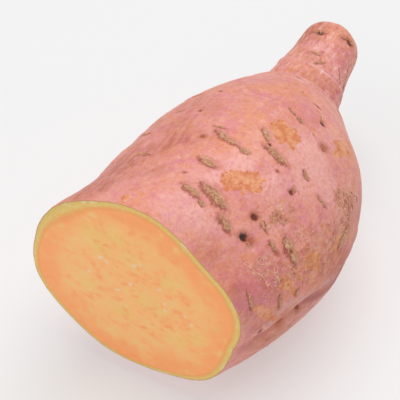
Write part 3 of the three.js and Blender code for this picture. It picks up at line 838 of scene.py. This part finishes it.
# Crusts: cream and brown crumbs.
crust = board.step(board.swing(fine, 0.6, crust_field), 0.4, 0.75)
crust_colour = board.layers(paint(206, 128, 100), (
    (grain["Shade"], 0.2, 0.8, 0, 1, (182, 104, 80)),
    (ragged, 0.2, 0.6, 0.4, 1, (228, 178, 138), crackle["Gap"]),
))
colour = board.mix(board.times(crust, 0.65), colour, crust_colour)

# Slits: a reddish skirt, a torn edge with painted shade on one side and pale crumbs as a
# painted highlight on the other, and ridged cork in their own tone.
edge = board.swing(uneven, 1.1, slit)
lip = board.times(board.step(edge, 1.45, 1.05), board.step(ragged, 0.2, 0.8, 0.3, 1.0))
torn_shaded_side = board.times(lip, board.step(side, -0.9, 0.5, 0.2, 1.0))
healed = board.step(edge, 1.0, 0.6)
colour = board.layers(colour, (
    (edge, 2.2, 1, 0, 0.6, (200, 102, 84)),
    (side, -0.9, 0.5, 0.18, 0.9, (152, 78, 60), lip),
    (side, 0.3, -0.8, 0, 0.85, (238, 188, 158), lip),
))
cork_colour = board.layers(paint(238, 190, 146), (
    (tone, 0.1, 0.5, 0, 1, (222, 164, 124)),
    (tone, 0.5, 1, 0, 1, (204, 142, 104)),
    (ragged, 0.45, 0.95, 0, 0.6, (212, 140, 112)),
    (fine, 0.5, 0.85, 0, 0.75, (184, 116, 78)),
    (fine, 0.35, 0.05, 0, 0.5, (236, 190, 150)),
    (ridges, 0.5, 1, 0, 0.8, (170, 100, 74)),
    (ridges, 0.45, -0.1, 0, 0.8, (244, 208, 168)),
    (grain["Shade"], 0.55, 0.9, 0, 0.4, (244, 208, 168)),
    (grain["Shade"], 0.35, 0.05, 0, 0.4, (190, 120, 90)),
))
cork_colour = board.mix(board.times(grain["Gap"], 0.4), cork_colour, paint(176, 108, 80))
colour = board.mix(healed, colour, cork_colour)

# Pits: a red halo, a brown lip and a dark middle, partly painted shade in the hollow.
pit_edge = board.swing(uneven, 0.4, pit)
colour = board.layers(colour, ((pit_edge, 2.3, 1.1, 0, 0.5, (196, 110, 84)),))
core = board.layers(paint(196, 104, 76), (
    (pit_depth, 0.1, 0.6, 0, 1, (132, 66, 54)),
    (pit_depth, 0.75, 1, 0, 1, (80, 62, 56)),
    (ridges, 0.45, -0.1, 0, 0.4, (170, 120, 96)),
))
sunk = board.times(board.step(pit_edge, 1.25, 0.65), board.step(pit_depth, 0.0, 0.6, 0.5, 1.0))
board.join(board.mix(sunk, colour, core), sockets["Base Color"])

corky = board.most(healed, crust, board.step(pit_edge, 1.2, 0.8))
rough = board.mix(corky, rough_grey(0.5), rough_grey(0.86))
rough = board.mix(board.step(fine, 0.3, 1.0, 0.0, 0.4), rough, rough_grey(0.72))
board.join(rough, sockets["Roughness"])
raise_up(board, sockets, board.heights((
    (middling, 0.5), (fine, 0.16), (speckle, 0.06), (board.times(ridges, corky), 0.5),
    (board.times(grain["Grain"], crust), 0.5), (torn_shaded_side, -0.3), (cracked, 0.3),
)), distance=0.0008, strength=0.6)

# The cut flesh: moist and smooth from the knife, orange, with the ochre ring under the
# skin, yellower clouds towards the middle, and flecks where the fibres were cut across.
# Flecks: aside, up from the middle of the face, reach, all in mm.
ORANGE_FLECKS = (
    (12.3, 5.5, 1.6), (6.9, 4.6, 1.2), (7.4, -1.2, 1.1), (2.6, 2.4, 1.3), (-2.4, -7.2, 1.3),
    (-7.4, -5.4, 1.4), (-9.6, -0.4, 1.1), (-13.6, -0.3, 1.4), (-15.6, -1.1, 1.2), (-13.7, -4.3, 1),
    (-5.8, -10, 1.1), (-9.1, -10.3, 1), (-5.9, -13.6, 1), (-17.7, -5.3, 1.3), (-15.9, 5.5, 1.1),
    (-8.7, 8.3, 1.1), (4.4, 8.6, 1), (-1.6, 5.6, 1.2), (10.6, 0.6, 1.1),
)
PALE_SPECKS = (
    (9.6, 9.6, 1.3), (14.1, 2, 0.9), (0.4, 3.2, 1.1), (4.9, -1.2, 0.9), (-0.9, 11.8, 1.2),
    (-8.9, 6.1, 1), (-10.5, 0.9, 0.9), (-10.4, -1.5, 1.1), (-16.8, -0.6, 1), (-18.5, -3.4, 0.9),
    (7.4, 8.8, 1), (-2.8, 12.6, 0.9),
)
YELLOW_CLOUDS = (
    (11.6, 18.1, 7), (9.7, 14, 6), (-3.8, -1.2, 6), (-8, -3, 6), (4, 20, 6), (-12, 10, 5),
    (15, -4, 6), (4, -10, 6), (-14, -12, 6), (0, 13, 6), (-20, -8, 5),
)


def spots(board, place, rows):
    """The strongest of a list of soft round spots on the cut face."""
    strongest = 0.0
    for aside, up, reach in rows:
        at = tuple((CUT_MIDDLE + (CUT_SINK, aside, up)) * MM)
        far = board.put("ShaderNodeVectorMath", {0: place, 1: at}, operation="DISTANCE")["Value"]
        strongest = board.most(board.step(far, 0.0, reach * MM, 1.0, 0.0), strongest)
    return strongest


LEVEL = (1, 0.8, 1)
FIBRE_ORANGE = (255, 152, 92)
flesh_finish, board, sockets = new_finish(
    "sweet_potato_flesh", roughness=0.42, shine=0.35, under_skin=0.12,
    reach=(0.003, 0.0015, 0.0006),
)
place = board.place()
inward, ring = board.number("inward"), board.number("ring")
broad = board.cloud(place, 9, 2.2)
middling = board.cloud(place, 3.4, 2.4, LEVEL, 0.6)
fine = board.cloud(place, 0.9, 2.2, LEVEL, 0.6)
rim_cloud = board.cloud(place, 3, 3.0, fineness=0.7)
wavy = board.shaken(place, 420.0, 3.0, 0.003, 0.5)
flesh_fleck = board.crumbs(board.vector("MULTIPLY", wavy, (1, 0.6, 1)), 2.5)["Grain"]
fibrous = board.times(board.step(inward, 9.0, 18.0), board.step(flesh_fleck, 0.4, 0.9))
colour = board.layers(paint(255, 166, 100), (
    (board.swing(broad, 7.0, inward), 3, 12, 0, 1, (252, 186, 116)),
    (middling, 0, 0.9, 0.34, 0.85, (238, 200, 112), spots(board, wavy, YELLOW_CLOUDS)),
    (middling, 0.5, 1.1, 0, 0.75, (254, 154, 88)),
    (middling, 0.45, 0, 0, 0.65, (242, 200, 126)),
    (middling, 0.2, 0.8, 0.16, 0.8, FIBRE_ORANGE, fibrous),
))
orange, specks = spots(board, wavy, ORANGE_FLECKS), spots(board, wavy, PALE_SPECKS)
colour = board.mix(board.times(orange, 0.8), colour, paint(*FIBRE_ORANGE))
colour = board.layers(colour, ((fine, 0.6, 1.2, 0, 0.35, (244, 202, 148)),))
colour = board.mix(board.times(specks, 0.85), colour, paint(236, 214, 184))
# Ring: a bright inner line, then ochre, greener outwards, and the thin skin at the edge.
band = board.swing(middling, 0.16, ring)
colour = board.layers(colour, ((band, 2, 1.3, 0, 0.55, (232, 160, 82)),))
ochre = board.layers(paint(224, 184, 92), (
    (fine, 0.1, 1, 0, 1, (234, 200, 114)), (ring, 0.5, 0.1, 0, 0.6, (204, 180, 96)),
))
colour = board.mix(board.step(band, 1.45, 0.75), colour, ochre)
board.join(board.layers(colour, (
    (rim_cloud, 0.6, 1, 0, 0.6, (232, 220, 190), board.step(band, 0.75, 0.3)),
    (band, 0.9, 0.72, 0, 0.3, (232, 196, 132), board.step(band, 0.5, 0.68)),
    (inward, 0.3, 0.08, 0, 1, (190, 130, 92)),
)), sockets["Base Color"])
moist = board.mix(board.step(fine, 0.2, 0.9), rough_grey(0.36), rough_grey(0.52))
board.join(moist, sockets["Roughness"])
raise_up(board, sockets, board.heights((
    (middling, 0.35), (fine, 0.25), (board.step(band, 0.95, 1.1), 0.25),
)), distance=0.0004, strength=0.35)

sweet_potato_body = bpy.data.objects.new("sweet_potato_body", body_mesh)
bpy.context.scene.collection.objects.link(sweet_potato_body)
body_mesh.materials.append(skin_finish)
body_mesh.materials.append(flesh_finish)
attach(sweet_potato_body, "root")
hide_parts("sweet_potato")

# Cork grains: where a slit healed or a crust formed, cork stands up in tiny crumbs. They
# grow on the skin, so the node tree scatters them over the body's own slits and crusts.


def new_grower(name, inputs):
    """An empty node tree that takes a mesh, a finish and named numbers, and gives a mesh."""
    mesh = {"Geometry": "Geometry"}
    return new_tree(name, "Geometry", {**mesh, **inputs, "Finish": "Material"}, mesh)


def finish_up(board, mesh, finish, result):
    """Realizes the instances, gives them their finish, and ends the tree."""
    real = board.put("GeometryNodeRealizeInstances", {0: mesh})[0]
    shaded = board.put("GeometryNodeSetMaterial", {"Geometry": real, "Material": finish})
    board.join(shaded[0], result[0])


def new_scatterer(name, own_inputs, share_of, rounds, smallest, largest):
    """A node tree that strews crumbs over a mesh, as thick as share_of says."""
    tree, board, given, result = new_grower(name, {
        **own_inputs, "Size": "Float", "Per square metre": "Float", "Seed": "Int",
    })
    density = board.times(share_of(board, given), given["Per square metre"])
    spread = board.put("GeometryNodeDistributePointsOnFaces", {
        "Mesh": given["Geometry"], "Density": density, "Seed": given["Seed"],
    })
    ball = board.put("GeometryNodeMeshIcoSphere", {"Radius": given["Size"], "Subdivisions": rounds})
    drawn = board.put("FunctionNodeRandomValue", {
        "Min": smallest, "Max": largest, "Seed": given["Seed"],
    }, data_type="FLOAT_VECTOR")
    placed = board.put("GeometryNodeInstanceOnPoints", {
        "Points": spread["Points"], "Instance": ball["Mesh"], "Rotation": spread["Rotation"],
        "Scale": drawn[0],
    })
    finish_up(board, placed[0], given["Finish"], result)
    return tree


def grow(name, mesh, tree, inputs):
    """Runs a node tree on a copy of a mesh, and keeps the result as a plain piece."""
    piece = bpy.data.objects.new(name, mesh.copy())
    bpy.context.scene.collection.objects.link(piece)
    modifier = piece.modifiers.new("grower", "NODES")
    modifier.node_group = tree
    for item in tree.interface.items_tree:
        if item.in_out == "INPUT" and item.name in inputs:
            modifier[item.identifier] = inputs[item.name]
    grown = piece.evaluated_get(bpy.context.evaluated_depsgraph_get())
    result = bpy.data.meshes.new_from_object(grown)
    piece.modifiers.clear()
    piece.data = result
    return piece


def crumb_finish(name, roughness, shine, patch, contrast, ends, colours, strength, pits=None):
    """A finish of two colours in small patches, rough in them or in pits of a size."""
    made, board, sockets = new_finish(name, roughness, shine)
    place = board.place()
    patchy = board.cloud(place, patch, contrast, fineness=0.7)
    light, dark = (paint(*colour) for colour in colours)
    board.join(board.mix(board.step(patchy, *ends), light, dark), sockets["Base Color"])
    height = board.crumbs(place, pits)["Grain"] if pits else patchy
    raise_up(board, sockets, height, distance=0.0001, strength=strength)
    return made


def named(board, name, kind):
    return board.put("GeometryNodeInputNamedAttribute", {"Name": name}, data_type=kind)[0]


def cork_share(board, given):
    """Slits are full of grains, crusts partly, and the rest of the skin has a stray few."""
    slit_at, _, _ = board.put("ShaderNodeSeparateXYZ", {0: named(board, "slit", "FLOAT_VECTOR")})
    _, crust_at, _ = board.put("ShaderNodeSeparateXYZ", {0: named(board, "worn", "FLOAT_VECTOR")})
    on_slit = board.math("LESS_THAN", slit_at, given["Edge"])
    on_crust = board.math("GREATER_THAN", crust_at, given["Crust from"])
    on_crust = board.times(on_crust, given["Crust share"])
    off_the_cut = board.math("LESS_THAN", named(board, "inward", "FLOAT"), 0.1)
    stray = board.times(off_the_cut, given["Elsewhere"])
    _, _, lift = board.put("ShaderNodeSeparateXYZ", {0: board.put("GeometryNodeInputPosition")[0]})
    clear = board.math("GREATER_THAN", lift, given["Clear of floor"])
    return board.times(board.most(on_slit, on_crust, stray), clear)


CORK_GRAIN, CORK_PER_CM2, CORK_CLEARANCE = 0.12, 220.0, 0.5
cork_grains = grow("cork_grains", body_mesh, new_scatterer("cork grains", {
    "Edge": "Float", "Crust from": "Float", "Crust share": "Float", "Elsewhere": "Float",
    "Clear of floor": "Float",
}, cork_share, 1, (0.6, 0.6, 0.25), (1.4, 1.2, 0.6)), {
    "Size": CORK_GRAIN * MM, "Per square metre": CORK_PER_CM2 * 1e4, "Edge": 0.85,
    "Crust from": 0.6, "Crust share": 0.4, "Elsewhere": 0.001, "Seed": 7,
    "Clear of floor": CORK_CLEARANCE * MM,
    "Finish": crumb_finish("cork_crumbs", 0.88, 0.2, 1.1, 2.6, (0.1, 0.9),
                           ((242, 202, 158), (206, 146, 108)), 0.6, pits=0.16),
})
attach(cork_grains, "root")

# Flesh fibres: the cut ends of the fibres that ran along the root. They stand up a little
# on the cut face, pale and orange, mostly towards its middle.


def fibre_share(board, given):
    """Bunches of fibres, from some way in from the edge of the face."""
    in_flesh = board.math("GREATER_THAN", named(board, "inward", "FLOAT"), given["From edge"])
    bunches = board.put("ShaderNodeTexNoise", {"Scale": 260.0, "Detail": 3.0, "Roughness": 0.6})
    return board.times(in_flesh, board.step(bunches[0], 0.48, 0.66))


FIBRE_SIZE, FIBRES_PER_CM2, FIBRES_FROM = 0.17, 60.0, 9.0
flesh_fibres = grow("flesh_fibres", body_mesh, new_scatterer("flesh fibres", {
    "From edge": "Float",
}, fibre_share, 2, (0.5, 0.5, 0.12), (1.5, 1.1, 0.35)), {
    "Size": FIBRE_SIZE * MM, "Per square metre": FIBRES_PER_CM2 * 1e4,
    "From edge": FIBRES_FROM, "Seed": 5,
    "Finish": crumb_finish("cut_fibres", 0.4, 0.35, 0.9, 2.6, (0.2, 0.8),
                           ((244, 206, 146), (250, 172, 106)), 0.4),
})
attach(flesh_fibres, "root")

# Crack threads: thin lines of raised cork and split skin that run over the surface. Each
# follows a path on the skin and lies half sunk in it.
PALE_CRACKS = (
    ((55.2, 154.5), (49.4, 151.5), (49.8, 156.2), (45.2, 154.5), (46.6, 160)),
    ((57.6, 159.8), (52.4, 158.5), (56, 166.8), (48.8, 162)),
    ((48.2, 146.8), (47.6, 151.2), (43.6, 150.8)), ((44.6, 166), (41, 166.8), (37.6, 167.8)),
    ((19.5, 127.8), (18.7, 130.8), (18.1, 135.2)),
    ((46.2, 146), (48.6, 151.2), (46.6, 153), (45.2, 157.5)),
    ((51.4, 153), (53.4, 154.6), (56.8, 158.5)), ((58.6, 163), (59.2, 169)),
    ((47.4, 144), (46, 147.8)), ((70.7, 114.2), (69.1, 120.5), (67.5, 124.8)),
    ((122.5, 145.2), (120.3, 155.2)), ((112.6, 56), (112, 74), (112.2, 91)),
    ((41.4, 159.6), (43.4, 162)), ((9.2, 140), (8.4, 143), (9, 147), (10, 152), (10.2, 157)),
    ((58, 123.6), (58.1, 127)), ((41.9, 106.2), (41, 107.6)), ((47.5, 96), (47.2, 98.4)),
    ((27.7, 133), (27.3, 138)), ((13.9, 151), (13.2, 155), (13.4, 160)),
    ((33, 300), (32, 306), (33, 311)), ((55, 332), (54, 338), (55, 342)), ((18, 250), (17, 257)),
    ((64, 214), (63, 220), (64, 224)), ((30, 12), (29, 18), (30.4, 24)),
)
DARK_CRACKS = (
    ((33.5, 176.5), (35.4, 183), (35.9, 187.5)), ((124.9, 161), (116.2, 165.5), (110.8, 169.8)),
    ((116, 136), (110, 154)), ((47.6, 149), (49.4, 155.4), (48, 160)),
    ((20.2, 127.6), (19.6, 131), (18.9, 134)), ((7, 145.6), (6.4, 148)),
    ((71.2, 113.6), (70.9, 117), (70.5, 121)), ((56.4, 120.6), (56, 124)),
    ((53.1, 151), (54.6, 156), (57.4, 161)), ((23.9, 61), (23.6, 65.6)), ((74.6, 103), (74, 107)),
    ((20, 320), (21, 326), (20.2, 331)), ((41, 222), (40, 228)),
    ((60, 283), (59, 290), (60.6, 295)), ((76, 30), (75, 37)), ((106, 240), (105.6, 252)),
    ((99, 20), (98.6, 34)),
)
THREAD_RADIUS, THREAD_SINK, THREAD_WANDER = 0.15, 0.05, 0.7
THREAD_SIDES, POINTS_A_LEG = 6, 9


def on_skin(place, angle, lift=0.0):
    """The point of the finished skin at a place, in mm, raised by lift."""
    row = np.interp(place, ring_places, np.arange(ring_count))
    column = angle / 360 * POINTS_ROUND
    i, j = min(int(row), ring_count - 2), int(column) % POINTS_ROUND
    u, v = row - i, column - int(column)
    k = (j + 1) % POINTS_ROUND
    near, beyond = (skin_points[n, j] * (1 - v) + skin_points[n, k] * v for n in (i, i + 1))
    turn = math.radians(angle)
    return near * (1 - u) + beyond * u + np.array([0, math.cos(turn), math.sin(turn)]) * lift


def between(start, end, t):
    return start[0] + (end[0] - start[0]) * t, start[1] + (end[1] - start[1]) * t


def paths_mesh(name, paths):
    """A mesh of loose lines in metres: one line for each path of points in mm."""
    vertices, edges = [], []
    for path in paths:
        first = len(vertices)
        vertices += [tuple(point * MM) for point in path]
        edges += [(i, i + 1) for i in range(first, len(vertices) - 1)]
    mesh = bpy.data.meshes.new(name)
    mesh.from_pydata(vertices, edges, [])
    return mesh


def skin_path(path):
    """Points every half millimetre or so along a path on the skin."""
    points = [
        on_skin(*between(start, end, t), -THREAD_SINK)
        for start, end in zip(path, path[1:])
        for t in np.linspace(0, 1, POINTS_A_LEG, endpoint=False)
    ]
    return points + [on_skin(*path[-1], -THREAD_SINK)]


thread_grower, board, given, result = new_grower("crack threads", {
    "Radius": "Float", "Wander": "Float",
})
line = board.put("GeometryNodeMeshToCurve", {"Mesh": given["Geometry"]})
waver = board.put("ShaderNodeTexNoise", {"Scale": 900.0, "Detail": 2.0})
sway = board.put("ShaderNodeVectorMath", {
    0: board.vector("SUBTRACT", waver["Color"], (0.5, 0.5, 0.5)), "Scale": given["Wander"],
}, operation="SCALE")
swayed = board.put("GeometryNodeSetPosition", {"Geometry": line[0], "Offset": sway[0]})
share = board.put("GeometryNodeSplineParameter")["Factor"]
taper = board.math("POWER", board.math("SINE", board.times(share, math.pi)), 0.5)
taper = board.times(taper, board.step(waver[0], 0.3, 0.6, 0.6, 1.2))
profile = board.put("GeometryNodeCurvePrimitiveCircle", {
    "Resolution": THREAD_SIDES, "Radius": given["Radius"],
})
tube = board.put("GeometryNodeCurveToMesh", {
    "Curve": swayed[0], "Profile Curve": profile[0], "Scale": taper, "Fill Caps": True,
})
finish_up(board, tube[0], given["Finish"], result)


def thread_finish(name, *colours):
    return crumb_finish(name, 0.8, 0.25, 0.9, 2.4, (0.1, 0.9), colours, 0.5)


for name, paths, light, dark in (
    ("pale_crack_threads", PALE_CRACKS, (248, 208, 172), (224, 162, 128)),
    ("dark_crack_threads", DARK_CRACKS, (190, 118, 90), (140, 80, 60)),
):
    lines = paths_mesh(name, [skin_path(path) for path in paths])
    threads = grow(name, lines, thread_grower, {
        "Radius": THREAD_RADIUS * MM, "Wander": THREAD_WANDER * MM,
        "Finish": thread_finish(name, light, dark),
    })
    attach(threads, "root")

# Rootlets: a few dry hair roots that still stick out of the eyes and bites. Each is given
# by its foot on the skin, its tip, and how far its middle and tip stand off.
ROOTLETS = (
    ((64.9, 122.2), (67.6, 119.8), 0.5, 0.35), ((12.9, 134.4), (11.4, 137.6), 0.4, 0.15),
    ((27, 340.6), (29.6, 344), 0.8, 0.9), ((48, 18.4), (50.4, 15), 0.7, 0.5),
    ((71, 290), (73.6, 286), 0.6, 0.5), ((52, 205), (53.8, 210), 0.6, 0.5),
    ((127.4, 80), (129.2, 74), 0.4, 0.3), ((130.8, 140), (132, 150), 0.4, 0.3),
    ((125, 215), (127, 224), 0.5, 0.6),
)
ROOTLET_RADIUS, ROOTLET_WANDER, FOOT_DEPTH = 0.12, 0.5, 0.2
rootlet_paths = []
for foot, end, middle_lift, end_lift in ROOTLETS:
    path = []
    for t in np.linspace(0, 1, POINTS_A_LEG):
        lift = -FOOT_DEPTH * (1 - t) + 4 * middle_lift * t * (1 - t) + end_lift * t
        path.append(on_skin(*between(foot, end, t), lift))
    rootlet_paths.append(path)
rootlets = grow("rootlets", paths_mesh("rootlets", rootlet_paths), thread_grower, {
    "Radius": ROOTLET_RADIUS * MM, "Wander": ROOTLET_WANDER * MM,
    "Finish": thread_finish("dry_rootlet", (240, 214, 178), (206, 156, 118)),
})
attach(rootlets, "root")

# The floor, the light and the camera: a plain pale studio floor and wide soft lights, seen
# from where the photograph was taken. Distances are metres.
FLOOR_HALF, FLOOR_LEVEL = 3.0, -0.0001
FLOOR_COLOUR, FLOOR_SHADED, FLOOR_GLOW = paint(243, 243, 243), 0.6, 0.4
WHITE, AIR_STRENGTH = (1, 1, 1, 1), 0.36
floor_mesh = bpy.data.meshes.new("studio_floor")
floor_mesh.from_pydata([
    (x * FLOOR_HALF, y * FLOOR_HALF, FLOOR_LEVEL) for x, y in ((-1, -1), (1, -1), (1, 1), (-1, 1))
], [], [(0, 1, 2, 3)])
floor_finish, _, sockets = new_finish("studio_floor", roughness=0.9, shine=0.0)
sockets["Base Color"].default_value = tuple(FLOOR_SHADED * c for c in FLOOR_COLOUR[:3]) + (1,)
sockets["Emission Color"].default_value = FLOOR_COLOUR
sockets["Emission Strength"].default_value = FLOOR_GLOW
floor_mesh.materials.append(floor_finish)
studio_floor = bpy.data.objects.new("studio_floor", floor_mesh)
bpy.context.scene.collection.objects.link(studio_floor)

scene = bpy.context.scene
scene.view_settings.view_transform = "Standard"
scene.world = bpy.data.worlds.new("studio_air")
scene.world.use_nodes = True
air = scene.world.node_tree.nodes["Background"].inputs
air["Color"].default_value = WHITE
air["Strength"].default_value = AIR_STRENGTH
for name, place, size, power in (
    ("key_light", (0.4, -0.03, 1.28), 1.5, 12.3),
    ("fill_light", (-1.0, 0.2, 0.62), 1.3, 5.0),
):
    lamp = bpy.data.lights.new(name, "AREA")
    lamp.shape = "DISK"
    lamp.size = size
    lamp.energy = power
    light = bpy.data.objects.new(name, lamp)
    light.location = place
    light.rotation_euler = Vector(place).to_track_quat("Z", "Y").to_euler()
    scene.collection.objects.link(light)

LENS_MM, SENSOR_MM = 80, 36
AZIMUTH, ELEVATION = math.radians(-62), math.radians(43)
CAMERA_RIGHT_MM, CAMERA_UP_MM, CAMERA_BACK_MM = 18.71, 25.89, 245.33
back = Vector((math.sin(AZIMUTH) * math.cos(ELEVATION), -math.cos(AZIMUTH) * math.cos(ELEVATION),
               math.sin(ELEVATION)))
right = Vector((math.cos(AZIMUTH), math.sin(AZIMUTH), 0))
up = back.cross(right)
from_cut = right * CAMERA_RIGHT_MM + up * CAMERA_UP_MM + back * CAMERA_BACK_MM
camera_data = bpy.data.cameras.new("photo_camera")
camera_data.lens = LENS_MM
camera_data.sensor_width = SENSOR_MM
camera = bpy.data.objects.new("photo_camera", camera_data)
turned = Matrix((right, up, back)).transposed().to_4x4()
camera.matrix_world = Matrix.Translation((Vector(CUT_MIDDLE) + from_cut) * MM) @ turned
scene.collection.objects.link(camera)
scene.camera = camera
